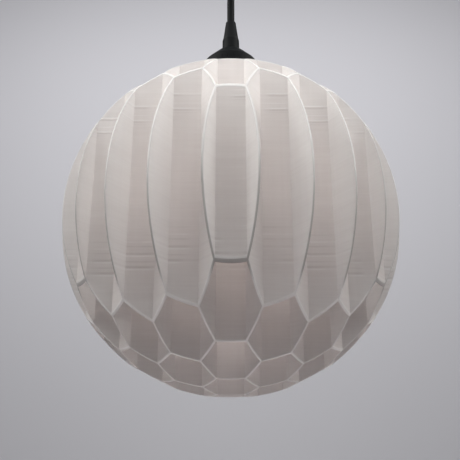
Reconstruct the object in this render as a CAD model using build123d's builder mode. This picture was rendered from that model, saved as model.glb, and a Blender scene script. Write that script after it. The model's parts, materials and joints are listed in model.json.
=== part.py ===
"""Pendant lamp: a printed honeycomb ball shade on an E27 lampholder, hung by its cord from a ceiling canopy.

Millimetres, +Z up. The origin is the centre of the ceiling bracket's top face, so the lamp hangs
below it. Heights of the lamp's parts are given above the ball's centre, and those of the ceiling
parts below the ceiling.
"""

from build123d import *
from math import atan2, cos, degrees, hypot, radians, sin, sqrt
import os

os.makedirs("parts", exist_ok=True)

# ---- Driving dimensions ----

DROP = 274.0  # ceiling to the ball's centre
BALL_R = 125.0
CELL_AF = 31.9  # honeycomb cell, across flats, wall centre to wall centre
CELL_WALL = 1.2
LAST_JUNCTION_R = 116.0  # walls that go out past here run straight on to the ball's surface
CAVITY_R = 52.0  # round space for the bulb in the middle of the ball
NECK_R = 50.0  # from that space up to the ball's open top
COLLAR_WALL = 2.4
COLLAR_FOOT = 94.0

LEDGE_Z = (104.0, 107.0)  # inward ledges of the collar, which hang on the plate's lugs
LEDGE_R = 46.2
LEDGE_GAP_DEG = 50.0
LUG_R = 49.6
LUG_DEG = 34.0
LUG_COUNT = 3

PLATE_Z = (119.0, 122.0)
PLATE_RIM_R = 45.4
PLATE_RIM_FOOT = 101.0
PLATE_HOLE_R = 20.2
VENT_COUNT = 12

THREAD_R = 19.9  # lampholder's outer thread, for the shade ring
THREAD_PITCH = 2.5
THREAD_DEPTH = 0.6
RING_R = 27.0
RING_H = 6.0

SOCKET_R = 13.35  # inside of the E27 screw shell, at its crests
LAMP_CAP_R = 13.2  # outside of the bulb's E27 cap, at its crests
E27_PITCH = 3.63

CORD_R = 3.1
CORD_FOOT = 160.0  # where the sheath ends inside the lampholder
CAP_SHOULDER_R = 12.0  # where the lampholder cap's steep cone turns into its flatter crown
NUT_FOOT = 156.4  # grip nut: its seat on the cap and its top, below the strain relief
NUT_TOP = 169.3
CORD_BORE_R = 3.2
WIRE_R = 1.1

CANOPY_R = 45.0
CANOPY_H = 52.0
CANOPY_WALL = 2.2
BALL_JOINT_Z = -44.0  # centre of the swivel ball, from the ceiling
BALL_JOINT_R = 8.0
BRACKET = (80.0, 18.0, 2.0)  # length, width and thickness of the ceiling strap
BRACKET_TAB = 17.0
CEILING_HOLE_X = 26.0
CEILING_HOLE_R = 2.3
SIDE_SCREW_Z = -9.5
SIDE_SCREW_R = 1.9

BULB_R = 30.0
BULB_CENTRE = 54.0
BULB_SEAM = 63.5  # where the opal globe meets the housing


def level(height):
    """Turns a height above the ball's centre into one from the ceiling."""
    return height - DROP


def lamp_outline(points):
    """Moves (radius, height above the ball's centre) points into the lamp's frame."""
    return [(radius, level(height)) for radius, height in points]


def turned(outline):
    """Revolves a closed outline of (radius, height) points about the lamp's axis."""
    with BuildSketch(Plane.XZ) as profile:
        with BuildLine():
            Polyline(*outline, close=True)
        make_face()
    revolve(profile.sketch, axis=Axis.Z)


def sector_ring(outer, inner, half_angle, count, turn, bottom, height):
    """Adds equal arcs of a flat ring, centred on turn and spaced round the axis."""
    reach = 2 * outer
    rise = reach * sin(radians(half_angle)) / cos(radians(half_angle))
    with BuildSketch(Plane.XY.offset(bottom)) as arcs:
        with PolarLocations(0, count, start_angle=turn):
            Polygon((0, 0), (reach, -rise), (reach, rise), align=None)
        Circle(outer, mode=Mode.INTERSECT)
        Circle(inner, mode=Mode.SUBTRACT)
    extrude(arcs.sketch, amount=height)


def save_part(shape, label):
    """Labels a finished piece and writes its STEP file."""
    shape.label = label
    export_step(shape, f"parts/{label}.step")


def finish(builder, label):
    save_part(builder.part, label)


# ---- Honeycomb shade: upright hexagonal tubes cut to a ball, one solid for each wall ----

cell_side = CELL_AF / sqrt(3)
junctions, wall_ends = {}, set()
for column in range(-6, 7):
    for row in range(-6, 7):
        cell = Vector(1.5 * cell_side * column, CELL_AF * (row + 0.5 * (column % 2)))
        ring = []
        for corner in range(6):
            place = cell + Vector(cell_side, 0).rotate(Axis.Z, 60 * corner)
            ring.append((round(place.X, 3), round(place.Y, 3)))
            junctions[ring[-1]] = place
        wall_ends |= {tuple(sorted((ring[side - 1], ring[side]))) for side in range(6)}

with BuildPart() as middle_space:
    with Locations((0, 0, level(0))):
        Sphere(CAVITY_R)
    with BuildSketch(Plane.XY.offset(level(0))):
        Circle(NECK_R)
    extrude(amount=BALL_R)
    with BuildSketch(Plane.XY.offset(level(COLLAR_FOOT))):
        Circle(NECK_R + COLLAR_WALL)
    extrude(amount=BALL_R - COLLAR_FOOT)

# The walls meet in threes, and their pointed ends share out each junction. Past the last junctions
# there are no small cells: each wall that starts there is a fin, and those beyond are left out.
half_wall = CELL_WALL / 2
shoulder = half_wall / sqrt(3)
honeycomb_walls = []
for ends in sorted(wall_ends):
    near, far = sorted((junctions[key] for key in ends), key=lambda place: place.length)
    if near.length > LAST_JUNCTION_R:
        continue
    along = (far - near).normalized()
    if far.length > LAST_JUNCTION_R:
        far = near + along * 2 * cell_side
    across = along.rotate(Axis.Z, 90) * half_wall
    outline = [
        near,
        near + along * shoulder + across,
        far - along * shoulder + across,
        far,
        far - along * shoulder - across,
        near + along * shoulder - across,
    ]
    with BuildPart() as wall:
        with BuildSketch(Plane.XY.offset(level(-BALL_R))):
            Polygon(*outline, align=None)
        extrude(amount=2 * BALL_R)
        with Locations((0, 0, level(0))):
            Sphere(BALL_R, mode=Mode.INTERSECT)
        if near.length < NECK_R + COLLAR_WALL:
            add(middle_space.part, mode=Mode.SUBTRACT)
    honeycomb_walls += wall.part.solids()
save_part(Compound(honeycomb_walls), "honeycomb_shade")

collar_r = NECK_R + COLLAR_WALL
with BuildPart() as shade_collar:
    with BuildSketch(Plane.XY.offset(level(COLLAR_FOOT))):
        Circle(collar_r)
        Circle(NECK_R, mode=Mode.SUBTRACT)
    extrude(amount=BALL_R - COLLAR_FOOT)
    with Locations((0, 0, level(0))):
        Sphere(BALL_R, mode=Mode.INTERSECT)
    sector_ring(
        NECK_R + COLLAR_WALL / 2,
        LEDGE_R,
        (360 / LUG_COUNT - LEDGE_GAP_DEG) / 2,
        LUG_COUNT,
        90,
        level(LEDGE_Z[0]),
        LEDGE_Z[1] - LEDGE_Z[0],
    )
finish(shade_collar, "shade_collar")

# ---- Holder plate: a vented cone clamped on the lampholder, with lugs that the shade turns onto ----

with BuildPart() as holder_plate:
    turned(
        lamp_outline(
            [
                (PLATE_HOLE_R, PLATE_Z[0]),
                (28.5, PLATE_Z[0]),
                (PLATE_RIM_R - 2.8, 104.5),
                (PLATE_RIM_R - 2.8, PLATE_RIM_FOOT),
                (PLATE_RIM_R, PLATE_RIM_FOOT),
                (PLATE_RIM_R, 105.6),
                (30.0, PLATE_Z[1]),
                (PLATE_HOLE_R, PLATE_Z[1]),
            ]
        )
    )
    sector_ring(
        LUG_R,
        PLATE_RIM_R - 1,
        LUG_DEG / 2,
        LUG_COUNT,
        90,
        level(PLATE_RIM_FOOT),
        LEDGE_Z[0] - PLATE_RIM_FOOT,
    )
    with BuildSketch(Plane.XY.offset(level(PLATE_RIM_FOOT))):
        with PolarLocations(36.0, VENT_COUNT):
            SlotOverall(9.0, 3.2)
    extrude(amount=BALL_R - PLATE_RIM_FOOT, mode=Mode.SUBTRACT)
finish(holder_plate, "holder_plate")

# ---- Lampholder ----

with BuildPart() as shade_ring:
    with BuildSketch(Plane.XY.offset(level(PLATE_Z[0] - RING_H))):
        Circle(RING_R)
        Circle(THREAD_R + 0.1, mode=Mode.SUBTRACT)
        with PolarLocations(RING_R + 0.6, 24):
            Circle(1.5, mode=Mode.SUBTRACT)
    extrude(amount=RING_H)
finish(shade_ring, "shade_ring")

sleeve_foot = 94.0
sleeve_bore_r = 16.4
sleeve_top = 131.0
cap_foot = 126.0
root_r = THREAD_R - THREAD_DEPTH

with BuildPart() as holder_sleeve:
    turned(
        lamp_outline(
            [
                (sleeve_bore_r, sleeve_foot),
                (root_r, sleeve_foot),
                (root_r, PLATE_Z[0] + 0.5),
                (THREAD_R, PLATE_Z[0] + 1),
                (THREAD_R, PLATE_Z[1]),
                (22.6, PLATE_Z[1]),
                (22.6, cap_foot),
                (18.6, cap_foot),
                (18.6, sleeve_top),
                (sleeve_bore_r, sleeve_top),
            ]
        )
    )
    for ridge_number in range(10):
        ridge = sleeve_foot + 0.4 + ridge_number * THREAD_PITCH
        turned(
            lamp_outline(
                [
                    (root_r - 0.2, ridge),
                    (THREAD_R, ridge + 0.8),
                    (THREAD_R, ridge + 1.2),
                    (root_r - 0.2, ridge + 2.0),
                ]
            )
        )
finish(holder_sleeve, "holder_sleeve")

with BuildPart() as holder_cap:
    turned(
        lamp_outline(
            [
                (18.8, cap_foot),
                (21.9, cap_foot),
                (21.9, 143.8),
                (CAP_SHOULDER_R, 154.0),
                (7.1, NUT_FOOT),
                (4.4, NUT_FOOT),
                (4.4, 153.8),
                (8.0, 153.8),
                (11.4, 151.2),
                (18.8, 143.6),
            ]
        )
    )
    cap_circles = holder_cap.edges().filter_by(GeomType.CIRCLE)
    fillet([edge for edge in cap_circles if abs(edge.radius - CAP_SHOULDER_R) < 0.1], 4.0)
    cap_rim = holder_cap.edges().filter_by(GeomType.CIRCLE).group_by(SortBy.RADIUS)[-1]
    fillet(cap_rim.sort_by(Axis.Z)[-1], 1.5)
    with BuildSketch(Plane.XY.offset(level(cap_foot))):
        with PolarLocations(22.4, 30):
            Circle(0.8)
    extrude(amount=14.0, mode=Mode.SUBTRACT)
finish(holder_cap, "holder_cap")

with BuildPart() as grip_nut:
    turned(
        lamp_outline(
            [
                (4.4, NUT_FOOT),
                (7.1, NUT_FOOT),
                (7.1, 167.0),
                (6.5, NUT_TOP),
                (4.4, NUT_TOP),
            ]
        )
    )
finish(grip_nut, "grip_nut")

with BuildPart() as strain_relief:
    turned(
        lamp_outline(
            [
                (CORD_BORE_R, 150.6),
                (7.0, 150.6),
                (7.0, 153.6),
                (4.2, 153.6),
                (4.2, NUT_TOP),
                (6.4, NUT_TOP),
                (4.25, 185.5),
                (CORD_BORE_R, 185.5),
            ]
        )
    )
finish(strain_relief, "strain_relief")

insert_r = 16.2
insert_bore_r = 14.3
socket_roof = 130.0
rivet_r = 1.6

with BuildPart() as holder_insert:
    turned(
        lamp_outline(
            [
                (insert_bore_r, 99.0),
                (insert_r, 99.0),
                (insert_r, sleeve_top),
                (18.2, sleeve_top),
                (18.2, 134.0),
                (rivet_r, 134.0),
                (rivet_r, socket_roof),
                (insert_bore_r, socket_roof),
            ]
        )
    )
finish(holder_insert, "holder_insert")


def knuckle_tube(foot, turns, crest_in, wave, wall):
    """Revolves a thin tube whose wall waves in and out once a pitch, as a rolled E27 thread does."""
    with BuildSketch(Plane.XZ) as profile:
        with BuildLine():
            for turn in range(turns):
                low = level(foot) + turn * E27_PITCH
                high = low + E27_PITCH
                middle = (low + high) / 2
                ThreePointArc((crest_in, low), (crest_in + wave, middle), (crest_in, high))
                ThreePointArc(
                    (crest_in + wall, low), (crest_in + wall + wave, middle), (crest_in + wall, high)
                )
            Line((crest_in, level(foot)), (crest_in + wall, level(foot)))
            top = level(foot) + turns * E27_PITCH
            Line((crest_in, top), (crest_in + wall, top))
        make_face()
    revolve(profile.sketch, axis=Axis.Z)


with BuildPart() as screw_shell:
    knuckle_tube(101.0, 7, SOCKET_R, 0.4, 0.45)
finish(screw_shell, "screw_shell")

with BuildPart() as centre_contact:
    with BuildSketch(Plane.XY.offset(level(128.3))):
        SlotOverall(15.0, 6.0)
    extrude(amount=0.5)
    with BuildSketch(Plane.XY.offset(level(128.8))):
        Circle(rivet_r)
    extrude(amount=7.2)
    with BuildSketch(Plane.XY.offset(level(134.0))):
        Circle(3.0)
    extrude(amount=2.0)
finish(centre_contact, "centre_contact")

terminal_x = 9.0
with BuildPart() as terminal_blocks:
    with Locations(*[(side * terminal_x, 0, level(138.0)) for side in (-1, 1)]):
        Box(6.0, 8.0, 8.0)
    for side in (-1, 1):
        with Locations(Plane.XZ.offset(4.0) * Location((side * terminal_x, level(138.0)))):
            Hole(1.5, depth=4.0)
finish(terminal_blocks, "terminal_blocks")

with BuildPart() as terminal_screws:
    for side in (-1, 1):
        seat = Plane((side * terminal_x, -4.0, level(138.0)), z_dir=(0, -1, 0))
        with BuildSketch(seat):
            Circle(2.7)
        extrude(amount=1.8)
        with BuildSketch(seat):
            Circle(1.45)
        extrude(amount=-3.8)
        with BuildSketch(seat.offset(1.8)):
            Rectangle(4.4, 0.8)
        extrude(amount=-0.9, mode=Mode.SUBTRACT)
finish(terminal_screws, "terminal_screws")

for side, name in ((-1, "live_wire"), (1, "neutral_wire")):
    with BuildPart() as wire:
        with BuildLine() as route:
            FilletPolyline(
                (side * 1.3, 0, level(CORD_FOOT - 0.2)),
                (side * 1.3, 0, level(149.4)),
                (side * terminal_x, 0, level(146.0)),
                (side * terminal_x, 0, level(142.0)),
                radius=2.2,
            )
        with BuildSketch(Plane(route.line @ 0, z_dir=route.line % 0)):
            Circle(WIRE_R)
        sweep()
    finish(wire, name)

# ---- Cord: straight, because the lamp's weight pulls it tight ----

with BuildPart() as cord:
    with BuildSketch(Plane.XY.offset(level(CORD_FOOT))):
        Circle(CORD_R)
    extrude(amount=BALL_JOINT_Z - level(CORD_FOOT))
    with Locations((0, 0, BALL_JOINT_Z)):
        Sphere(BALL_JOINT_R + 0.06, mode=Mode.SUBTRACT)
finish(cord, "cord")

# ---- Bulb: an A60 LED lamp with an E27 cap ----

with BuildPart() as bulb_tip:
    turned(lamp_outline([(0, 126.0), (4.7, 126.0), (4.4, 127.2), (2.6, 128.2), (0, 128.2)]))
finish(bulb_tip, "bulb_tip")

with BuildPart() as bulb_insulator:
    turned(lamp_outline([(0, 122.4), (10.6, 122.4), (5.4, 126.0), (0, 126.0)]))
finish(bulb_insulator, "bulb_insulator")

lamp_cap_wall = 0.4
lamp_cap_wave = 0.45
lamp_cap_turns = 6
lamp_cap_foot = 98.4
with BuildPart() as bulb_cap:
    knuckle_tube(
        lamp_cap_foot,
        lamp_cap_turns,
        LAMP_CAP_R - lamp_cap_wave - lamp_cap_wall,
        lamp_cap_wave,
        lamp_cap_wall,
    )
    cap_top = lamp_cap_foot + lamp_cap_turns * E27_PITCH
    cap_inner = LAMP_CAP_R - lamp_cap_wave - lamp_cap_wall
    turned(
        lamp_outline(
            [
                (cap_inner, cap_top),
                (cap_inner + lamp_cap_wall, cap_top),
                (10.9, 122.4),
                (9.4, 122.4),
                (9.4, 122.0),
                (10.6, 122.0),
            ]
        )
    )
    turned(
        lamp_outline(
            [
                (11.9, lamp_cap_foot - 0.4),
                (13.0, lamp_cap_foot - 0.4),
                (13.0, lamp_cap_foot),
                (11.9, lamp_cap_foot),
            ]
        )
    )
finish(bulb_cap, "bulb_cap")

seam_r = sqrt(BULB_R**2 - (BULB_SEAM - BULB_CENTRE) ** 2)
with BuildPart() as bulb_housing:
    with BuildSketch(Plane.XZ) as profile:
        with BuildLine():
            Polyline(
                (seam_r - 1.6, level(BULB_SEAM)),
                (seam_r, level(BULB_SEAM)),
                (seam_r, level(BULB_SEAM + 2)),
            )
            ThreePointArc((seam_r, level(BULB_SEAM + 2)), (20.6, level(80.0)), (14.8, level(92.0)))
            Polyline(
                (14.8, level(92.0)),
                (14.2, level(98.0)),
                (11.7, level(98.0)),
                (11.7, level(118.0)),
                (10.2, level(118.0)),
                (10.2, level(97.0)),
                (13.0, level(91.5)),
            )
            ThreePointArc(
                (13.0, level(91.5)), (18.9, level(79.2)), (seam_r - 1.6, level(BULB_SEAM + 2.6))
            )
            Line((seam_r - 1.6, level(BULB_SEAM + 2.6)), (seam_r - 1.6, level(BULB_SEAM)))
        make_face()
    revolve(profile.sketch, axis=Axis.Z)
finish(bulb_housing, "bulb_housing")

globe_wall = 1.2
with BuildPart() as bulb_globe:
    with Locations((0, 0, level(BULB_CENTRE))):
        Sphere(BULB_R)
        Sphere(BULB_R - globe_wall, mode=Mode.SUBTRACT)
    split(bisect_by=Plane.XY.offset(level(BULB_SEAM)), keep=Keep.BOTTOM)
finish(bulb_globe, "bulb_globe")

board_z = BULB_SEAM + 0.8
with BuildPart() as led_board:
    with BuildSketch(Plane.XY.offset(level(board_z))):
        Circle(seam_r - 1.8)
    extrude(amount=1.6)
finish(led_board, "led_board")

with BuildPart() as led_chips:
    with PolarLocations(17.0, 10):
        with Locations((0, 0, level(board_z - 0.4))):
            Box(3.5, 2.8, 0.8)
finish(led_chips, "led_chips")

with BuildPart() as driver_board:
    with Locations((0, 0, level(95.0))):
        Box(14.0, 1.6, 40.0)
    with Locations((0, 4.3, level(84.0))):
        Cylinder(3.5, 12.0)
    with Locations((1.0, -3.3, level(88.0))):
        Box(8.0, 5.0, 8.0)
finish(driver_board, "driver_board")

# ---- Ceiling canopy and its swivel ball ----

canopy_rim = -0.6
neck_r = 9.4
hole_r = 5.9
slope = (CANOPY_R - 1.8 - neck_r, 31.4)
inward = CANOPY_WALL / hypot(*slope)
shift = (-slope[1] * inward, slope[0] * inward)
boss_r = 12.0
boss_top = BALL_JOINT_Z + 6.0
boss_foot = -CANOPY_H + shift[1] + (boss_r - neck_r - shift[0]) * slope[1] / slope[0]

with BuildPart() as canopy:
    turned(
        [
            (hole_r, -CANOPY_H),
            (neck_r, -CANOPY_H),
            (neck_r + slope[0], -CANOPY_H + slope[1]),
            (CANOPY_R, -CANOPY_H + slope[1] + 3.5),
            (CANOPY_R, canopy_rim),
            (CANOPY_R - CANOPY_WALL, canopy_rim),
            (CANOPY_R - CANOPY_WALL, -CANOPY_H + slope[1] + 4.2),
            (neck_r + slope[0] + shift[0], -CANOPY_H + slope[1] + shift[1]),
            (boss_r, boss_foot),
            (boss_r, boss_top),
            (BALL_JOINT_R + 0.4, boss_top),
            (BALL_JOINT_R + 0.4, -CANOPY_H + 2.2),
            (hole_r, -CANOPY_H + 2.2),
        ]
    )
    for side in (-1, 1):
        slot_face = Plane((0, 0, SIDE_SCREW_Z), x_dir=(0, side, 0), z_dir=(side, 0, 0))
        with BuildSketch(slot_face):
            Circle(SIDE_SCREW_R + 0.5)
            with Locations((0, -SIDE_SCREW_Z / 2)):
                Rectangle(2 * SIDE_SCREW_R + 1.0, -SIDE_SCREW_Z)
        extrude(amount=CANOPY_R + 5, mode=Mode.SUBTRACT)
finish(canopy, "canopy")

with BuildPart() as swivel_ball:
    with Locations((0, 0, BALL_JOINT_Z)):
        Sphere(BALL_JOINT_R)
finish(swivel_ball, "swivel_ball")

retainer_r = 18.0
with BuildPart() as ball_retainer:
    with BuildSketch(Plane.XY.offset(boss_top)):
        Circle(retainer_r)
        Circle(6.2, mode=Mode.SUBTRACT)
        with PolarLocations(14.5, 2, start_angle=-90, angular_range=60):
            Circle(1.3, mode=Mode.SUBTRACT)
    extrude(amount=3.0)
finish(ball_retainer, "ball_retainer")

strip_foot = boss_top + 3.0
strip_size = (24.0, 9.0, 13.0)
strip_y = 6.8 + strip_size[1] / 2
with BuildPart() as terminal_strip:
    with BuildSketch(Plane.XY.offset(strip_foot)):
        with Locations((0, strip_y)):
            RectangleRounded(strip_size[0], strip_size[1], 1.0)
    extrude(amount=strip_size[2])
    with BuildSketch(Plane.XY.offset(strip_foot + strip_size[2])):
        with Locations((0, strip_y)):
            with GridLocations(12.0, 4.4, 2, 2):
                Circle(1.6)
    extrude(amount=-4.0, mode=Mode.SUBTRACT)
finish(terminal_strip, "terminal_strip")

with BuildPart() as strip_screws:
    with BuildSketch(Plane.XY.offset(strip_foot + strip_size[2] - 3.0)):
        with Locations((0, strip_y)):
            with GridLocations(12.0, 4.4, 2, 2):
                Circle(1.5)
    extrude(amount=2.6)
    with BuildSketch(Plane.XY.offset(strip_foot + strip_size[2] - 0.4)):
        with Locations((0, strip_y)):
            with GridLocations(12.0, 4.4, 2, 2):
                Rectangle(4.0, 0.6)
    extrude(amount=-0.8, mode=Mode.SUBTRACT)
finish(strip_screws, "strip_screws")

for side, name in ((-1, "feed_wire_live"), (1, "feed_wire_neutral")):
    with BuildPart() as wire:
        with BuildLine() as route:
            FilletPolyline(
                (side * 1.8, 0, BALL_JOINT_Z + BALL_JOINT_R + 0.3),
                (side * 1.8, 0, strip_foot + 5.0),
                (side * 6.0, 2.6, strip_foot + 7.0),
                (side * 6.0, strip_y - strip_size[1] / 2, strip_foot + 7.0),
                radius=1.8,
            )
        with BuildSketch(Plane(route.line @ 0, z_dir=route.line % 0)):
            Circle(WIRE_R)
        sweep()
    finish(wire, name)

# ---- Ceiling bracket and the screws that hold the canopy on it ----

tab_x = BRACKET[0] / 2
with BuildPart() as ceiling_bracket:
    with Locations((0, 0, -BRACKET[2] / 2)):
        Box(*BRACKET)
    with Locations(*[(side * (tab_x - BRACKET[2] / 2), 0, -BRACKET_TAB / 2) for side in (-1, 1)]):
        Box(BRACKET[2], BRACKET[1], BRACKET_TAB)
    with Locations(*[(side * CEILING_HOLE_X, 0, 0) for side in (-1, 1)]):
        Hole(CEILING_HOLE_R, depth=BRACKET[2] + 1)
    with Locations((0, 0, 0)):
        Hole(7.0, depth=BRACKET[2] + 1)
    with BuildSketch(Plane.YZ.offset(-tab_x - 1)):
        with Locations((0, SIDE_SCREW_Z)):
            Circle(SIDE_SCREW_R + 0.05)
    extrude(amount=2 * tab_x + 2, mode=Mode.SUBTRACT)
finish(ceiling_bracket, "ceiling_bracket")

head_x = CANOPY_R + 0.5
with BuildPart() as canopy_screws:
    for side in (-1, 1):
        seat = Plane((side * head_x, 0, SIDE_SCREW_Z), z_dir=(side, 0, 0))
        with BuildSketch(seat):
            Circle(4.4)
            with PolarLocations(4.7, 16):
                Circle(0.5, mode=Mode.SUBTRACT)
        extrude(amount=3.6)
        with BuildSketch(seat):
            Circle(SIDE_SCREW_R)
        extrude(amount=-(head_x - tab_x + 5.0))
finish(canopy_screws, "canopy_screws")

lean = degrees(atan2(slope[1], slope[0]))
print(f"{len(honeycomb_walls)} walls, cell side {cell_side:.2f}, canopy slope {lean:.1f} degrees")
print(f"cord tube {BALL_JOINT_Z - BALL_JOINT_R - level(CORD_FOOT):.1f} long, straight")
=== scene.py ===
"""Pendant lamp with a printed honeycomb ball shade: the looks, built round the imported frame.

Metres, +Z up, in the frame's own coordinates: z = 0 is the ceiling and the lamp hangs below it.
"""

import bpy
import json
import math
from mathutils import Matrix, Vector


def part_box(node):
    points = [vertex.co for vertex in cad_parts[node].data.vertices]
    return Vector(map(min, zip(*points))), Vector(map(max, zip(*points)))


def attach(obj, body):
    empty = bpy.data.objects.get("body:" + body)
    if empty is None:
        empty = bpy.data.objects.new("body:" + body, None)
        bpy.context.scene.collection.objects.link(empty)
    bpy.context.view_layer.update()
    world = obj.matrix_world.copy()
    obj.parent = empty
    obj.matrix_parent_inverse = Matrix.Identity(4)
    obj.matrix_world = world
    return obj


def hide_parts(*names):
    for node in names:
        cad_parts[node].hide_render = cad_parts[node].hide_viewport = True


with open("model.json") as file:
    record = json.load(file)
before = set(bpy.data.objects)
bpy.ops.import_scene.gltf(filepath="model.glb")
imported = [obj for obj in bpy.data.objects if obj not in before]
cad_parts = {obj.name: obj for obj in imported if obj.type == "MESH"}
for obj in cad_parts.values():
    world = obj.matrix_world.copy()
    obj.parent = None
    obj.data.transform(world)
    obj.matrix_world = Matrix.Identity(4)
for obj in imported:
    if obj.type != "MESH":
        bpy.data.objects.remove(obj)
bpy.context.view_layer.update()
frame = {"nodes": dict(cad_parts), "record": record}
nodes = frame["nodes"]

MM = 0.001
BALL_R = 125.0 * MM
CELL_AF = 31.9 * MM  # across flats, wall centre to wall centre
CELL_WALL = 1.2 * MM
LAST_JUNCTION_R = 116.0 * MM  # walls that go out past here run straight on to the ball's surface
RIM_ROUND = 0.26 * MM  # rounding of the walls' cut edges
CAVITY_R = 52.0 * MM
NECK_R = 50.0 * MM
COLLAR_WALL = 2.4 * MM
COLLAR_FOOT = 94.0 * MM  # heights of the shade are above the ball's centre
COLLAR_EDGE = 0.4 * MM
LEDGES = 3
LEDGE_Z = (104.1 * MM, 107.0 * MM)  # the foot is 0.1 mm over the CAD's, clear of the turning lugs
LEDGE_R = 46.2 * MM
LEDGE_ARC = 70.0  # degrees
LEDGE_TURN = 30.0  # degrees from the X axis to the middle of the first one
CORD_D = 6.2 * MM
CORD_EDGE = 0.5 * MM
CORD_LOW_RUN = 20 * MM  # route's first run, inside the strain relief
CORD_HIGH_RUN = 18 * MM  # from the start of its last run to the top of the CAD cord
CORD_END_GAP = 0.4 * MM  # route's end, below the top of the CAD cord, whose end cups the swivel ball

CELL_SIDE = CELL_AF / math.sqrt(3)
# The ball's lowest rim is on the middle cell, half a cell less half a wall from the axis.
ball_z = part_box("honeycomb_shade")[0].z + math.sqrt(BALL_R**2 - ((CELL_AF - CELL_WALL) / 2) ** 2)
centre = Vector((0, 0, ball_z))


# ---- Camera: below the lamp and close to it, looking up ----

CAMERA_AWAY = 3.4173  # in front of the ball's axis, in radii of the ball
CAMERA_BELOW = 1.1242  # below the ball's centre, in radii of the ball
CAMERA_PITCH = 18.013  # degrees up from level
CAMERA_LENS = 46.02  # millimetres, as is the sensor's width
CAMERA_SENSOR = 36.0
CAMERA_SHIFT = -0.0018  # of the picture's width
CAMERA_CLIP = 10 * MM

camera_data = bpy.data.cameras.new("camera")
camera_data.lens = CAMERA_LENS
camera_data.sensor_width = CAMERA_SENSOR
camera_data.shift_x = CAMERA_SHIFT
camera_data.clip_start = CAMERA_CLIP
camera = bpy.data.objects.new("camera", camera_data)
bpy.context.scene.collection.objects.link(camera)
camera.location = centre + BALL_R * Vector((0, -CAMERA_AWAY, -CAMERA_BELOW))
camera.rotation_euler = (math.radians(90 + CAMERA_PITCH), 0, 0)
bpy.context.scene.camera = camera


# ---- Mesh helpers ----

POLE_R = 1e-7  # a lathe outline that comes this near to the axis closes there


def new_piece(name, vertices, faces):
    mesh = bpy.data.meshes.new(name)
    mesh.from_pydata([tuple(v) for v in vertices], [], faces)
    mesh.validate()
    mesh.update()
    piece = bpy.data.objects.new(name, mesh)
    bpy.context.scene.collection.objects.link(piece)
    return piece


def lathe(name, outline, steps=96, height=0.0):
    """Revolves a closed outline of (radius, height) points about the Z axis. Radius 0 makes a pole."""
    vertices, rings = [], []
    for radius, z in outline:
        if radius < POLE_R:
            rings.append([len(vertices)] * steps)
            vertices.append((0, 0, z + height))
            continue
        rings.append(list(range(len(vertices), len(vertices) + steps)))
        for i in range(steps):
            angle = 2 * math.pi * i / steps
            vertices.append((radius * math.cos(angle), radius * math.sin(angle), z + height))
    faces = []
    for low, high in zip(rings, rings[1:] + rings[:1]):
        for i in range(steps):
            j = (i + 1) % steps
            corners = []
            for corner in (low[i], low[j], high[j], high[i]):
                if corner not in corners:
                    corners.append(corner)
            if len(corners) > 2:
                faces.append(corners)
    return new_piece(name, vertices, faces)


def cut(piece, other, operation):
    """Applies a boolean with another mesh, and deletes that mesh."""
    step = piece.modifiers.new("cut", "BOOLEAN")
    step.operation = operation
    step.solver = "MANIFOLD"
    step.object = other
    evaluated = piece.evaluated_get(bpy.context.evaluated_depsgraph_get())
    result = bpy.data.meshes.new_from_object(evaluated)
    piece.modifiers.clear()
    old = piece.data
    piece.data = result
    bpy.data.meshes.remove(old)
    bpy.data.objects.remove(other)


def soften(piece, sharp=30.0):
    """Smooth shading, with every edge that turns by more than this many degrees kept sharp."""
    mesh = piece.data
    mesh.shade_smooth()
    mesh.set_sharp_from_angle(angle=math.radians(sharp))


# ---- Cord: straight, pulled tight by the lamp's weight ----

cord_low, cord_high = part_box("cord")
CORD_ROUTE = [
    Vector((0, 0, cord_low.z)),
    Vector((0, 0, cord_low.z + CORD_LOW_RUN)),
    Vector((0, 0, cord_high.z - CORD_HIGH_RUN)),
    Vector((0, 0, cord_high.z - CORD_END_GAP)),
]


def cord_outline(route, radius, edge):
    """(radius, height) points of an upright cord with slightly rounded ends."""
    foot, top = route[0].z, route[-1].z
    outline = [(0.0, foot), (radius - edge, foot), (radius, foot + edge)]
    outline += [(radius, place.z) for place in route[1:-1]]
    return outline + [(radius, top - edge), (radius - edge, top), (0.0, top)]


pendant_cord = lathe("pendant_cord", cord_outline(CORD_ROUTE, CORD_D / 2, CORD_EDGE), steps=48)
soften(pendant_cord)
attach(pendant_cord, "cord")
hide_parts("cord")


# ---- Honeycomb: walls between junctions, each cut off at the ball with a rounded rim ----

# Rows across a wall's rim, as (offset from the wall's middle, drop below the ball's surface). The
# second and fifth are halfway round the rounded edges.
HALF = CELL_WALL / 2
HALFWAY = 0.29 * RIM_ROUND
RIM_ROWS = [
    (-HALF, RIM_ROUND),
    (-HALF + HALFWAY, HALFWAY),
    (-HALF + RIM_ROUND, 0.0),
    (HALF - RIM_ROUND, 0.0),
    (HALF - HALFWAY, HALFWAY),
    (HALF, RIM_ROUND),
]
CORNER = CELL_WALL / math.sqrt(3)  # from a junction's middle to a cell's corner
ARC_STEP = 2.2 * MM  # longest step along a rim
LEAST_STEPS = 3  # along a wall between two junctions
LEAST_OUTER_STEPS = 6  # along a wall that ends at the ball's surface
CELLS_OUT = 6  # cells each way from the axis, enough to pass the ball's surface
RIM_SHARP = 24.0  # degrees

BRIDGE_SAG = 0.10 * MM
SAG_UNEVEN = 0.15  # share of the sag that comes and goes along a bridge
SAG_WAVES = 9.0  # radians from a bridge's middle to its end
SAG_SHIFT = 400.0  # radians for each metre off the axis, so that no two bridges match


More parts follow.
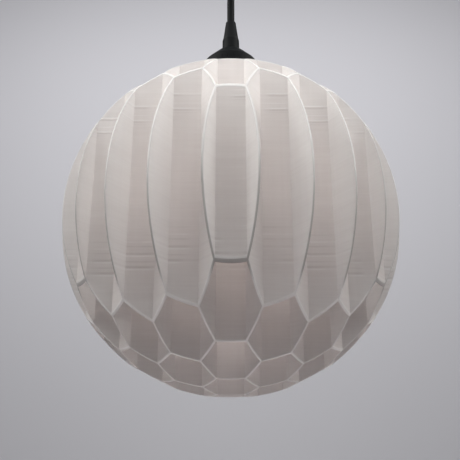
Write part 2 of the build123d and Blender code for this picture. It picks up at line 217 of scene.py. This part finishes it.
def lattice():
    """The junctions inside the ball, and the walls as pairs of junctions."""
    junctions, walls = {}, set()
    for column in range(-CELLS_OUT, CELLS_OUT + 1):
        for row in range(-CELLS_OUT, CELLS_OUT + 1):
            x = 1.5 * CELL_SIDE * column
            y = CELL_AF * (row + 0.5 * (column % 2))
            if math.hypot(x, y) > BALL_R + CELL_SIDE:
                continue
            ring = []
            for k in range(6):
                angle = math.pi * k / 3
                place = Vector((x + CELL_SIDE * math.cos(angle), y + CELL_SIDE * math.sin(angle)))
                key = (round(place.x * 1e5), round(place.y * 1e5))  # to a hundredth of a millimetre
                junctions.setdefault(key, place)
                ring.append(key)
            for k in range(6):
                walls.add(tuple(sorted((ring[k], ring[(k + 1) % 6]))))
    return junctions, sorted(walls)


def rim_height(x, y, drop):
    """Height of the ball's surface over a place, less a drop towards its centre."""
    return math.sqrt(max((BALL_R - drop) ** 2 - x * x - y * y, 0.0))


class Wall:
    """One wall between two junctions. u runs along it from its start, and v across it.

    An outer wall starts at a junction and ends at the ball's surface, so one arc closes it.
    """

    def __init__(self, start, end, outer):
        self.start, self.length, self.outer = start, (end - start).length, outer
        self.along = (end - start).normalized()
        self.across = Vector((-self.along.y, self.along.x))
        self.first, self.last = CORNER / 2, self.length - CORNER / 2
        self.nearest = -start.dot(self.along)  # where the wall's own line comes nearest to the axis
        self.off_axis = start.dot(self.across)

    def place(self, u, v):
        return self.start + self.along * u + self.across * v

    def arc(self, v, drop):
        """Radius of an outer wall's arc, and its angle up from level at the wall's first junction."""
        reach = math.sqrt(max((BALL_R - drop) ** 2 - (self.off_axis + v) ** 2, 0.0))
        return reach, math.acos((self.first - self.nearest) / reach)

    def steps(self):
        """Enough for the longest row. All rows have the same number, so that the rim is a grid."""
        if not self.outer:
            return max(LEAST_STEPS, math.ceil((self.last - self.first) / ARC_STEP))
        arcs = [self.arc(v, drop) for v, drop in RIM_ROWS]
        return max(LEAST_OUTER_STEPS, *(math.ceil(reach * turn / ARC_STEP) for reach, turn in arcs))

    def row(self, v, drop, side, steps):
        """Points along the rim. side is 1 for the upper rim and -1 for the lower one."""
        points = []
        reach, turn = self.arc(v, drop) if self.outer else (0.0, 0.0)
        for i in range(steps + 1):
            if self.outer:
                angle = turn * (1 - i / steps)
                spot = self.place(self.nearest + reach * math.cos(angle), v)
                height = reach * math.sin(angle)
            else:
                spot = self.place(self.first + (self.last - self.first) * i / steps, v)
                height = rim_height(spot.x, spot.y, drop)
            points.append((spot.x, spot.y, side * height))
        return points

    def is_bridge(self):
        """Whether its lower rim is level. Such a rim was printed in the air, and sags."""
        level = abs(self.nearest - self.length / 2) < MM
        return level and not self.outer and abs(self.off_axis) > CAVITY_R

    def sagged(self, row):
        points = []
        for i, (x, y, z) in enumerate(row):
            t = 2 * i / (len(row) - 1) - 1  # -1 and 1 at the ends
            wave = math.sin(SAG_WAVES * t + SAG_SHIFT * self.off_axis)
            sag = BRIDGE_SAG * (1 - t * t) * (1 - SAG_UNEVEN + SAG_UNEVEN * wave)
            points.append((x, y, z - sag))
        return points

    def rows(self, side):
        steps = self.steps()
        made = [self.row(v, drop, side, steps) for v, drop in RIM_ROWS]
        return [self.sagged(row) for row in made] if side < 0 and self.is_bridge() else made


class Honeycomb:
    """Collects the mesh. Points that two walls share are made once."""

    def __init__(self):
        self.vertices, self.faces, self.known = [], [], {}

    def point(self, x, y, z):
        # Points are the same within 0.005 mm. The shift keeps round sizes off a rounding limit.
        key = tuple(round(c * 2e5 + 0.31) for c in (x, y, z))
        if key not in self.known:
            self.known[key] = len(self.vertices)
            self.vertices.append((x, y, z + ball_z))
        return self.known[key]

    def face(self, corners):
        kept = [c for i, c in enumerate(corners) if c != corners[i - 1]]
        if len(set(kept)) > 2:
            self.faces.append(kept)

    def add_wall(self, wall):
        """Makes a wall's faces. Gives back its upper and its lower rows of points."""
        rims = {side: [[self.point(*p) for p in row] for row in wall.rows(side)] for side in (1, -1)}
        for side in (1, -1):
            for low, high in zip(rims[side], rims[side][1:]):
                for i in range(len(low) - 1):
                    quad = [low[i], low[i + 1], high[i + 1], high[i]]
                    self.face(quad if side > 0 else quad[::-1])
        for k, flip in ((0, False), (len(RIM_ROWS) - 1, True)):
            outline = rims[-1][k] + rims[1][k][::-1]
            self.face(outline[::-1] if flip else outline)
        return rims

    def add_junction(self, middle, side, lines):
        """Closes the rim between the ends of the walls that meet at a junction."""
        hub = self.point(middle.x, middle.y, side * rim_height(middle.x, middle.y, 0.0))
        for line in lines:
            for p, q in zip(line, line[1:]):
                self.face([hub, q, p] if side > 0 else [hub, p, q])


def build_honeycomb():
    comb = Honeycomb()
    junctions, walls = lattice()
    inside = {key for key, place in junctions.items() if place.length < LAST_JUNCTION_R}
    ends = {}
    for a, b in walls:
        if a not in inside and b not in inside:
            continue
        if a not in inside:
            a, b = b, a
        rims = comb.add_wall(Wall(junctions[a], junctions[b], outer=b not in inside))
        for side in (1, -1):
            ends.setdefault((a, side), []).append([row[0] for row in rims[side]][::-1])
            if b in inside:
                ends.setdefault((b, side), []).append([row[-1] for row in rims[side]])
    for (key, side), lines in ends.items():
        comb.add_junction(junctions[key], side, lines)
    return comb


comb = build_honeycomb()
honeycomb = new_piece("honeycomb", comb.vertices, comb.faces)


def ball_arc(radius, start, end, steps):
    """(radius, height) points of an arc round the ball's centre, from one angle to another in degrees."""
    angles = [math.radians(start + (end - start) * i / steps) for i in range(steps + 1)]
    return [(radius * math.cos(angle), radius * math.sin(angle)) for angle in angles]


# The cavity for the bulb is most of a ball, with a straight neck out of the top.
neck_angle = math.degrees(math.acos(NECK_R / CAVITY_R))
past_top = BALL_R + 5 * MM
cavity = lathe(
    "cavity",
    ball_arc(CAVITY_R, -90.0, 0.0, 24)
    + ball_arc(CAVITY_R, 0.0, neck_angle, 3)[1:]
    + [(NECK_R, past_top), (0.0, past_top)],
    height=ball_z,
)
cut(honeycomb, cavity, "DIFFERENCE")

collar_top = math.sqrt(BALL_R**2 - (NECK_R + COLLAR_WALL) ** 2)
collar = lathe(
    "collar",
    [
        (NECK_R, COLLAR_FOOT + COLLAR_EDGE),
        (NECK_R + COLLAR_EDGE, COLLAR_FOOT),
        (NECK_R + COLLAR_WALL - COLLAR_EDGE, COLLAR_FOOT),
        (NECK_R + COLLAR_WALL, COLLAR_FOOT + COLLAR_EDGE),
        # The lip, rounded, ends a little over the ball's surface.
        (NECK_R + COLLAR_WALL, collar_top - 0.2 * MM),
        (NECK_R + COLLAR_WALL - 0.5 * MM, collar_top + 0.3 * MM),
        (NECK_R + 0.5 * MM, collar_top + 0.6 * MM),
        (NECK_R, collar_top + 0.2 * MM),
    ],
    steps=144,
    height=ball_z,
)
cut(honeycomb, collar, "UNION")


def sector(name, inner, outer, low, high, middle, arc, steps=24):
    """A curved block: an arc of a flat ring, in degrees round a middle direction."""
    vertices, faces = [], []
    for i in range(steps + 1):
        angle = math.radians(middle - arc / 2 + arc * i / steps)
        for radius, z in ((inner, low), (outer, low), (outer, high), (inner, high)):
            vertices.append((radius * math.cos(angle), radius * math.sin(angle), z + ball_z))
    for i in range(steps):
        for k in range(4):
            p, q = 4 * i + k, 4 * i + (k + 1) % 4
            faces.append([p, p + 4, q + 4, q])
    faces.append([0, 1, 2, 3])
    faces.append([4 * steps + k for k in (3, 2, 1, 0)])
    return new_piece(name, vertices, faces)


for k in range(LEDGES):
    turn = LEDGE_TURN + 360.0 / LEDGES * k
    ledge = sector("ledge", LEDGE_R, NECK_R + COLLAR_WALL / 2, *LEDGE_Z, turn, LEDGE_ARC)
    cut(honeycomb, ledge, "UNION")
soften(honeycomb, RIM_SHARP)
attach(honeycomb, "shade")
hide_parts("honeycomb_shade", "shade_collar")


# ---- Materials: made of nodes, in the pieces' own coordinates ----

NODE_KINDS = {
    "TextureCoordinate": "ShaderNodeTexCoord",
    "Mapping": "ShaderNodeMapping",
    "Noise": "ShaderNodeTexNoise",
    "Wave": "ShaderNodeTexWave",
    "Voronoi": "ShaderNodeTexVoronoi",
    "MapRange": "ShaderNodeMapRange",
    "Math": "ShaderNodeMath",
    "Mix": "ShaderNodeMix",
    "Bump": "ShaderNodeBump",
    "Separate": "ShaderNodeSeparateXYZ",
    "VectorMath": "ShaderNodeVectorMath",
    "Principled": "ShaderNodeBsdfPrincipled",
    "Translucent": "ShaderNodeBsdfTranslucent",
    "MixShader": "ShaderNodeMixShader",
    "Output": "ShaderNodeOutputMaterial",
}
NOISE_ROUGHNESS = 0.55


def rgba(colour):
    return (*colour, 1.0) if isinstance(colour, tuple) and len(colour) == 3 else colour


class Look:
    """Builds one material, node by node."""

    def __init__(self, name):
        self.material = bpy.data.materials.new(name)
        self.material.use_nodes = True
        self.tree = self.material.node_tree
        self.tree.nodes.clear()
        self.place = self.node("TextureCoordinate").outputs["Object"]

    def node(self, kind, inputs=None, **settings):
        made = self.tree.nodes.new(NODE_KINDS[kind])
        for key, value in settings.items():
            setattr(made, key, value)
        for key, value in (inputs or {}).items():
            if isinstance(value, bpy.types.NodeSocket):
                self.tree.links.new(value, made.inputs[key])
            else:
                made.inputs[key].default_value = value
        return made

    def stretched(self, scale):
        """The coordinates, scaled apart along X, Y and Z."""
        return self.node("Mapping", {"Vector": self.place, "Scale": scale}).outputs["Vector"]

    def noise(self, size, detail=3.0, stretch=(1, 1, 1), seed=0.0):
        """Noise with features of this size, in metres, drawn out along X, Y and Z."""
        inputs = {
            "Vector": self.stretched(tuple(1 / (size * s) for s in stretch)),
            "W": seed,
            "Scale": 1.0,
            "Detail": detail,
            "Roughness": NOISE_ROUGHNESS,
        }
        return self.node("Noise", inputs, noise_dimensions="4D").outputs["Fac"]

    def span(self, value, low, high, start=0.0, end=1.0):
        """Maps start..end of a value to low..high."""
        inputs = {"Value": value, "From Min": start, "From Max": end, "To Min": low, "To Max": high}
        return self.node("MapRange", inputs).outputs["Result"]

    def sum(self, *values):
        total = values[0]
        for value in values[1:]:
            total = self.node("Math", {0: total, 1: value}, operation="ADD").outputs[0]
        return total

    def times(self, *values):
        total = values[0]
        for value in values[1:]:
            total = self.node("Math", {0: total, 1: value}, operation="MULTIPLY").outputs[0]
        return total

    def size_of(self, value):
        """The value without its sign."""
        return self.node("Math", {0: value}, operation="ABSOLUTE").outputs[0]

    def blend(self, share, first, second):
        """Mixes two colours."""
        made = self.node("Mix", {0: share, 6: rgba(first), 7: rgba(second)}, data_type="RGBA")
        return made.outputs[2]

    def bump(self, height, depth, strength, under=None):
        """Turns a 0..1 height into a normal, over another bump's normal. depth is in metres."""
        inputs = {"Height": height, "Distance": depth, "Strength": strength}
        if under:
            inputs["Normal"] = under
        return self.node("Bump", inputs).outputs["Normal"]

    def shader(self, **inputs):
        """The Principled shader. Keys use _ for a space."""
        named = {key.replace("_", " "): rgba(value) for key, value in inputs.items()}
        return self.node("Principled", named)

    def lit_through(self, share, surface, colour):
        """Lets a share of the light through a surface, in this colour."""
        inner = self.node("Translucent", {"Color": rgba(colour)})
        return self.node("MixShader", {0: share, 1: surface.outputs[0], 2: inner.outputs[0]})

    def done(self, shader):
        output = self.node("Output")
        self.tree.links.new(shader.outputs[0], output.inputs["Surface"])
        return self.material


LAYER = 0.28 * MM  # height of one printed layer
# Layers where the print paused or ran hotter: height above the ball's centre, half their width, and
# how dark they are. Below 0 is paler than the rest.
PRINT_LINES = [
    (57.6 * MM, 1.1 * MM, 1.2),
    (58.9 * MM, 0.9 * MM, -0.9),
    (52.0 * MM, 0.5 * MM, -0.5),
    (47.2 * MM, 0.9 * MM, 1.1),
    (48.3 * MM, 0.8 * MM, -0.8),
    (45.2 * MM, 0.5 * MM, 0.5),
    (-31.0 * MM, 0.7 * MM, 0.6),
    (-35.5 * MM, 0.6 * MM, -0.6),
    (-38.4 * MM, 0.8 * MM, 0.8),
    (-43.0 * MM, 1.0 * MM, 1.2),
    (-44.4 * MM, 0.8 * MM, -0.9),
    (-48.0 * MM, 0.7 * MM, 0.8),
    (-51.3 * MM, 1.1 * MM, 1.3),
    (-52.8 * MM, 0.9 * MM, -0.9),
]
LINE_CORE = 0.15  # share of a line's half width that has its full tone
LINE_DARKEST = 1.5  # sum of the lines' tones that gives the darkest colour
LINE_PALEST = -0.9

# What shows on a wall's surface, and what comes through it, in the common print and in odd layers.
THROUGH_DARK = (0.92, 0.892, 0.882)
THROUGH_PALE = (0.98, 0.96, 0.952)
ODD_DARK = (0.58, 0.565, 0.555)
ODD_PALE = (0.95, 0.945, 0.94)
ODD_DARK_THROUGH = (0.80, 0.77, 0.76)
ODD_PALE_THROUGH = (1.0, 0.99, 0.985)

RIM_STARTS = BALL_R - 0.35 * MM  # from the ball's centre
RIM_FADE = 0.2 * MM  # before that, from the wall's own tones
RIM_FLAT = (0.18 * MM, 0.3 * MM)  # past that: where the rounded edge gives way to the flat of the rim
# The rims' own tone high up, painted shade on the flat of the lower slopes' rims, and painted light on the
# lowest rims.
RIM_HIGH = (0.75, 0.74, 0.73)
RIM_PAINTED_SHADE = (0.50, 0.485, 0.475)
RIM_PAINTED_LIGHT = (0.97, 0.96, 0.95)
RIM_THROUGH = 0.12
RIM_FOOT_FADE = (-66 * MM, -58 * MM)  # heights from the ball's centre: low tone to middle tone
RIM_TOP_FADE = (-12 * MM, 6 * MM)  # middle tone to high tone


def odd_layers(look, z):
    """Sum of the print lines' tones: patchy, and clearest on walls that face the front or back."""
    lines = []
    for height, half_width, dark in PRINT_LINES:
        away = look.node("Math", {0: z, 1: height + ball_z}, operation="SUBTRACT").outputs[0]
        lines.append(look.span(look.size_of(away), dark, 0.0, LINE_CORE * half_width, half_width))
    patches = look.noise(16 * MM, detail=1.0, stretch=(1, 1, 3), seed=3.0)
    patchy = look.span(patches, 0.15, 1.0, 0.42, 0.6)
    normal = look.node("TextureCoordinate").outputs["Normal"]
    front = look.size_of(look.node("Separate", {"Vector": normal}).outputs["Y"])
    return look.times(look.sum(*lines), patchy, look.span(front, 0.2, 1.3, 0.6, 0.9))


def painted_rim_light_and_shade(look, z, off_centre):
    """Painted light and shade on the walls' cut ends: a pale painted light low down, painted shade
    on the flat of the rims in the middle of the lower slopes, which face down, and paler above.
    """
    above_foot = look.span(z, 0.0, 1.0, *(ball_z + height for height in RIM_FOOT_FADE))
    below_top = look.span(z, 1.0, 0.0, *(ball_z + height for height in RIM_TOP_FADE))
    flat = look.span(off_centre, 0.0, 1.0, *(RIM_STARTS + depth for depth in RIM_FLAT))
    # Painted shade on the flat of the rims below the top fade; painted light on the rims at the foot.
    tone = look.blend(look.times(below_top, flat), RIM_HIGH, RIM_PAINTED_SHADE)
    return look.blend(above_foot, RIM_PAINTED_LIGHT, tone)


def printed(name, pale, dark, through, rims=False):
    """Translucent filament laid in level layers, with streaks, faint ghost lines and a few odd layers.

    through is the share of light that passes. With rims, the walls' cut ends get painted light and
    shade by height, and let less light through, because there it would have to cross the whole wall.
    """
    look = Look(name)
    wave = {"Vector": look.place, "Scale": math.pi / (10 * LAYER), "Distortion": 0.35, "Detail": 1.0}
    layers = look.node("Wave", wave, bands_direction="Z").outputs["Fac"]  # one band for each layer
    streaks = look.noise(1.1 * MM, detail=2.0, stretch=(28, 28, 1), seed=2.0)
    broad = look.noise(7 * MM, detail=2.0, stretch=(9, 9, 1), seed=5.0)
    ghosts = look.noise(3.2 * MM, detail=2.0, stretch=(1, 1, 60), seed=8.0)
    grain = look.noise(0.35 * MM, detail=2.0, seed=11.0)
    z = look.node("Separate", {"Vector": look.place}).outputs["Z"]
    odd = odd_layers(look, z)
    tone = look.sum(
        look.span(streaks, -0.30, 0.30, 0.3, 0.7),
        look.span(broad, -0.22, 0.22, 0.3, 0.7),
        look.span(ghosts, -0.16, 0.16, 0.3, 0.7),
    )
    share = look.span(tone, 0.0, 1.0, -0.9, 0.7)
    darker = look.span(odd, 0.0, 0.55, 0.0, LINE_DARKEST)
    paler = look.span(odd, 1.0, 0.0, LINE_PALEST, 0.0)
    colour = look.blend(darker, look.blend(share, dark, pale), ODD_DARK)
    colour = look.blend(paler, colour, ODD_PALE)
    passing = look.blend(darker, look.blend(share, THROUGH_DARK, THROUGH_PALE), ODD_DARK_THROUGH)
    passing = look.blend(paler, passing, ODD_PALE_THROUGH)
    relief = look.bump(layers, 0.035 * MM, 0.55)
    relief = look.bump(streaks, 0.10 * MM, 0.5, relief)
    relief = look.bump(odd, 0.12 * MM, 0.8, relief)
    relief = look.bump(grain, 0.02 * MM, 0.4, relief)
    if rims:
        off_centre = look.node("VectorMath", {0: look.place, 1: tuple(centre)}, operation="DISTANCE")
        off_centre = off_centre.outputs["Value"]
        at_rim = look.span(off_centre, 0.0, 1.0, RIM_STARTS - RIM_FADE, RIM_STARTS)
        # Painted light and shade on the walls' cut ends, by height.
        colour = look.blend(at_rim, colour, painted_rim_light_and_shade(look, z, off_centre))
        through = look.span(at_rim, through, RIM_THROUGH)
    surface = look.shader(
        Base_Color=colour,
        Roughness=look.span(broad, 0.42, 0.56),
        Specular_IOR_Level=0.4,
        Normal=relief,
    )
    return look.done(look.lit_through(through, surface, passing))


def moulded(name, pale, dark, rough, grain=0.5, depth=0.02, specular=0.5):
    """Moulded plastic or rubber: a fine spark-eroded grain, slight flow shading and rubbed patches.

    rough is the least and the most roughness. grain and its depth are in millimetres.
    """
    look = Look(name)
    cloud = look.noise(18 * MM, detail=3.0, seed=1.0)
    rubbed = look.noise(4 * MM, detail=4.0, stretch=(1, 1, 2), seed=4.0)
    pebble = look.noise(grain * MM, detail=2.0, seed=7.0)
    colour = look.blend(look.span(look.sum(cloud, rubbed), 0.0, 1.0, 0.75, 1.25), dark, pale)
    relief = look.bump(pebble, depth * MM, 0.7)
    relief = look.bump(rubbed, 0.02 * MM, 0.3, relief)
    return look.done(
        look.shader(
            Base_Color=colour,
            Roughness=look.span(look.sum(rubbed, pebble), *rough, 0.7, 1.3),
            Specular_IOR_Level=specular,
            Normal=relief,
        )
    )


def metal(name, pale, dark, rough, along, scratch=0.4):
    """Plated or rolled metal: fine drawn lines, stains and a slight orange peel.

    along is how far the lines are drawn out along X, Y and Z. scratch, their width, is in millimetres.
    """
    look = Look(name)
    lines = look.noise(scratch * MM, detail=3.0, stretch=along, seed=2.0)
    stains = look.noise(5 * MM, detail=4.0, seed=5.0)
    colour = look.blend(look.span(stains, 0.0, 1.0, 0.35, 0.65), dark, pale)
    relief = look.bump(lines, 0.012 * MM, 0.6)
    relief = look.bump(stains, 0.03 * MM, 0.25, relief)
    return look.done(
        look.shader(
            Base_Color=colour,
            Metallic=1.0,
            Roughness=look.span(look.sum(lines, stains), *rough, 0.7, 1.3),
            Normal=relief,
        )
    )


SPECKS = 260  # in each metre, along each axis
TRACKS = 420
OPAL_THROUGH = 0.35  # share of the light that a diffuser lets through


def glazed(name, pale, dark, speck, rough=0.12):
    """Glaze over a fired body, with faint waves and a few specks."""
    look = Look(name)
    cloud = look.noise(9 * MM, detail=3.0, seed=3.0)
    cells = {"Vector": look.stretched((SPECKS,) * 3), "Scale": 1.0, "Randomness": 1.0}
    dots = look.node("Voronoi", cells).outputs["Distance"]
    tone = look.blend(look.span(cloud, 0.0, 1.0, 0.35, 0.65), dark, pale)
    colour = look.blend(look.span(dots, 1.0, 0.0, 0.05, 0.11), tone, speck)
    waves = look.bump(look.noise(2.6 * MM, detail=2.0, seed=6.0), 0.05 * MM, 0.35)
    return look.done(
        look.shader(
            Base_Color=colour,
            Roughness=look.span(cloud, rough, rough + 0.12),
            Coat_Weight=0.5,
            Coat_Roughness=0.06,
            Normal=waves,
        )
    )


def circuit_board(name, pale, dark, metal_tone):
    """Solder mask over copper tracks and tinned pads."""
    look = Look(name)
    cells = {"Vector": look.stretched((TRACKS,) * 3), "Scale": 1.0, "Randomness": 0.55}
    tracks = look.node("Voronoi", cells, distance="MANHATTAN", feature="F1").outputs["Distance"]
    mask = look.blend(look.span(tracks, 0.0, 1.0, 0.34, 0.4), pale, dark)
    pads = look.span(tracks, 1.0, 0.0, 0.1, 0.13)
    colour = look.blend(pads, mask, metal_tone)
    relief = look.bump(look.span(tracks, 0.0, 1.0, 0.3, 0.45), 0.04 * MM, 0.5)
    return look.done(
        look.shader(
            Base_Color=colour,
            Metallic=look.span(pads, 0.0, 0.85),
            Roughness=look.span(look.noise(3 * MM, seed=9.0), 0.3, 0.45),
            Normal=relief,
        )
    )


def opal(name, pale, dark):
    """Milky diffuser with a satin skin."""
    look = Look(name)
    cloud = look.noise(14 * MM, detail=2.0, seed=2.0)
    satin = look.noise(0.5 * MM, detail=2.0, seed=6.0)
    surface = look.shader(
        Base_Color=look.blend(cloud, dark, pale),
        Roughness=look.span(satin, 0.3, 0.42),
        Subsurface_Weight=0.2,
        Subsurface_Scale=0.004,
        Normal=look.bump(satin, 0.012 * MM, 0.5),
    )
    return look.done(look.lit_through(OPAL_THROUGH, surface, pale))


looks = {
    "shade_print": printed("shade_print", (0.88, 0.87, 0.86), (0.76, 0.745, 0.735), 0.57, rims=True),
    "plate_print": printed("plate_print", (0.82, 0.79, 0.765), (0.74, 0.70, 0.68), 0.22),
    "black_plastic": moulded(
        "black_plastic", (0.004, 0.0048, 0.0058), (0.003, 0.0036, 0.0043), (0.5, 0.62), specular=0.08
    ),
    "black_rubber": moulded(
        "black_rubber", (0.0045, 0.005, 0.0065), (0.003, 0.0035, 0.0045), (0.55, 0.7), 0.4, specular=0.09
    ),
    "cord_sheath": moulded(
        "cord_sheath", (0.0035, 0.004, 0.005), (0.0022, 0.0026, 0.0034), (0.5, 0.62), 0.7, specular=0.08
    ),
    "porcelain": glazed("porcelain", (0.86, 0.84, 0.80), (0.78, 0.75, 0.70), (0.40, 0.33, 0.26)),
    "contact_brass": metal("contact_brass", (0.80, 0.60, 0.28), (0.58, 0.41, 0.18), (0.2, 0.34), (9, 9, 1)),
    "steel": metal("steel", (0.66, 0.66, 0.65), (0.48, 0.48, 0.47), (0.24, 0.4), (1, 1, 5), 0.3),
    "zinc_steel": metal("zinc_steel", (0.62, 0.63, 0.65), (0.44, 0.45, 0.47), (0.3, 0.5), (14, 1, 1)),
    "wire_brown": moulded("wire_brown", (0.19, 0.075, 0.030), (0.13, 0.05, 0.02), (0.25, 0.36), 0.6, 0.008),
    "wire_blue": moulded("wire_blue", (0.03, 0.10, 0.38), (0.02, 0.07, 0.28), (0.25, 0.36), 0.6, 0.008),
    "solder": metal("solder", (0.70, 0.69, 0.66), (0.46, 0.45, 0.43), (0.25, 0.45), (1, 1, 1), 0.8),
    "bulb_glass": glazed("bulb_glass", (0.05, 0.05, 0.06), (0.03, 0.03, 0.04), (0.12, 0.11, 0.10), 0.1),
    "bulb_shell": metal("bulb_shell", (0.78, 0.77, 0.74), (0.60, 0.59, 0.57), (0.22, 0.36), (10, 10, 1)),
    "bulb_plastic": moulded("bulb_plastic", (0.84, 0.84, 0.83), (0.77, 0.77, 0.76), (0.25, 0.36), 0.8, 0.01),
    "bulb_opal": opal("bulb_opal", (0.93, 0.92, 0.90), (0.86, 0.85, 0.83)),
    "board_white": circuit_board("board_white", (0.82, 0.83, 0.83), (0.74, 0.75, 0.76), (0.7, 0.68, 0.62)),
    "led_yellow": moulded("led_yellow", (0.90, 0.74, 0.18), (0.80, 0.62, 0.10), (0.3, 0.42), 0.3, 0.02),
    "board_green": circuit_board("board_green", (0.06, 0.22, 0.10), (0.04, 0.15, 0.07), (0.7, 0.68, 0.62)),
    "retainer_plastic": moulded("retainer_plastic", (0.70, 0.70, 0.68), (0.60, 0.60, 0.58), (0.35, 0.5)),
    "strip_plastic": moulded("strip_plastic", (0.82, 0.81, 0.75), (0.74, 0.72, 0.66), (0.3, 0.44)),
}

for subpart in frame["record"]["subparts"]:
    for slot in nodes[subpart["node"]].material_slots:
        slot.material = looks[subpart["material_slot"]]
for piece, slot_name in ((honeycomb, "shade_print"), (pendant_cord, "cord_sheath")):
    piece.data.materials.clear()
    piece.data.materials.append(looks[slot_name])


# ---- Studio: pale paper that sweeps up behind the lamp, and soft light, mostly from above ----

FLOOR_Z = ball_z - 2.6
# The paper's profile, as (y, height above the floor).
SWEEP = [(-3.5, 0.0), (1.3, 0.0), (1.65, 0.05), (1.92, 0.18), (2.1, 0.42), (2.15, 0.8), (2.15, 5.05)]
SWEEP_HALF_WIDTH = 4.5
SWEEP_SMOOTHING = 3  # rounds of subdivision
PAPER_LOW = (0.37, 0.37, 0.375)
PAPER_HIGH = (0.66, 0.655, 0.68)
PAPER_FADE = (-1.4, -0.5)  # heights from the ball's centre
PAPER_CLOUD = 0.6  # size of the paper's faint clouds
PAPER_CLOUD_LIFT = 0.12  # how far they move the fade


def build_sweep():
    """The paper is darker at its foot, so that little light comes up from it."""
    vertices, faces = [], []
    for y, z in SWEEP:
        for x in (-SWEEP_HALF_WIDTH, SWEEP_HALF_WIDTH):
            vertices.append((x, y, z + FLOOR_Z))
    for i in range(len(SWEEP) - 1):
        faces.append([2 * i, 2 * i + 1, 2 * i + 3, 2 * i + 2])
    sweep = new_piece("studio_sweep", vertices, faces)
    rounding = sweep.modifiers.new("rounding", "SUBSURF")
    rounding.levels = rounding.render_levels = SWEEP_SMOOTHING
    sweep.data.shade_smooth()
    look = Look("studio_paper")
    cloud = look.times(look.noise(PAPER_CLOUD, detail=2.0), PAPER_CLOUD_LIFT)
    z = look.node("Separate", {"Vector": look.place}).outputs["Z"]
    height = look.span(look.sum(z, cloud), 0.0, 1.0, *(ball_z + h for h in PAPER_FADE))
    look.done(look.shader(Base_Color=look.blend(height, PAPER_LOW, PAPER_HIGH), Roughness=0.9))
    sweep.data.materials.append(look.material)


def soft_light(name, place, aim, size, watts, colour, spread):
    """A softbox. place and aim are from the ball's centre; spread is the angle of its light, in degrees.

    size is its width and height, in metres.
    """
    data = bpy.data.lights.new(name, "AREA")
    data.shape = "RECTANGLE"
    data.size, data.size_y = size
    data.energy = watts
    data.color = colour
    data.spread = math.radians(spread)
    light = bpy.data.objects.new(name, data)
    bpy.context.scene.collection.objects.link(light)
    light.location = centre + Vector(place)
    light.rotation_euler = (Vector(aim) - Vector(place)).to_track_quat("-Z", "Y").to_euler()
    light.visible_camera = False


def soft_world(below, above, fade_from, fade_to):
    """Even light that fades from one colour to another, between two heights of its direction."""
    world = bpy.data.worlds.new("studio")
    world.use_nodes = True
    tree = world.node_tree
    place = tree.nodes.new("ShaderNodeTexCoord")
    split = tree.nodes.new("ShaderNodeSeparateXYZ")
    fade = tree.nodes.new("ShaderNodeMapRange")
    blend = tree.nodes.new("ShaderNodeMix")
    blend.data_type = "RGBA"
    tree.links.new(place.outputs["Generated"], split.inputs[0])
    tree.links.new(split.outputs["Z"], fade.inputs["Value"])
    fade.inputs["From Min"].default_value = fade_from
    fade.inputs["From Max"].default_value = fade_to
    tree.links.new(fade.outputs["Result"], blend.inputs[0])
    blend.inputs[6].default_value = rgba(below)
    blend.inputs[7].default_value = rgba(above)
    tree.links.new(blend.outputs[2], tree.nodes["Background"].inputs["Color"])
    bpy.context.scene.world = world


def inner_glow(watts, colour, radius, height):
    """Light scattered between the walls, which a few bounces lose. It goes where the shade goes."""
    glow = bpy.data.lights.new("glow", "POINT")
    glow.shadow_soft_size = radius
    glow.energy = watts
    glow.color = colour
    light = bpy.data.objects.new("glow", glow)
    bpy.context.scene.collection.objects.link(light)
    light.location = centre + Vector((0, 0, height))
    light.visible_camera = False
    light.parent = honeycomb


# Colours of the light from above, from the sides, up from the table, on the paper and in the ball.
DAY = (1.0, 0.99, 0.975)
SIDE_TONE = (1.0, 0.995, 0.97)
TABLE_TONE = (1.0, 0.9, 0.895)
PAPER_TONE = (0.98, 0.98, 1.0)
GLOW_TONE = (1.0, 0.945, 0.93)
WORLD_BELOW = (0.10, 0.098, 0.098)
WORLD_ABOVE = (0.255, 0.255, 0.265)

build_sweep()
soft_light("sky", (0, -0.08, 1.0), (0, 0, 0), (0.5, 0.34), 0.3, DAY, spread=100)
soft_light("front", (0, -0.75, 1.05), (0, 0, 0.02), (1.5, 0.6), 4.1, DAY, spread=110)
for side, watts in ((-1, 5.6), (1, 4.5)):
    soft_light("side", (1.05 * side, -0.3, 0.95), (0, 0, 0.02), (0.9, 0.6), watts, SIDE_TONE, spread=110)
    soft_light("table", (0.34 * side, -0.02, -0.74), (0, 0, 0), (0.4, 0.3), 0.27, TABLE_TONE, spread=90)
soft_light("paper", (0, 0.5, 1.9), (0, 2.15, 0.35), (3.0, 0.8), 32.0, PAPER_TONE, spread=150)
soft_world(WORLD_BELOW, WORLD_ABOVE, fade_from=-0.3, fade_to=0.8)
inner_glow(0.47, GLOW_TONE, radius=0.6 * CAVITY_R, height=-0.42 * CAVITY_R)
bpy.context.scene.view_settings.view_transform = "Standard"
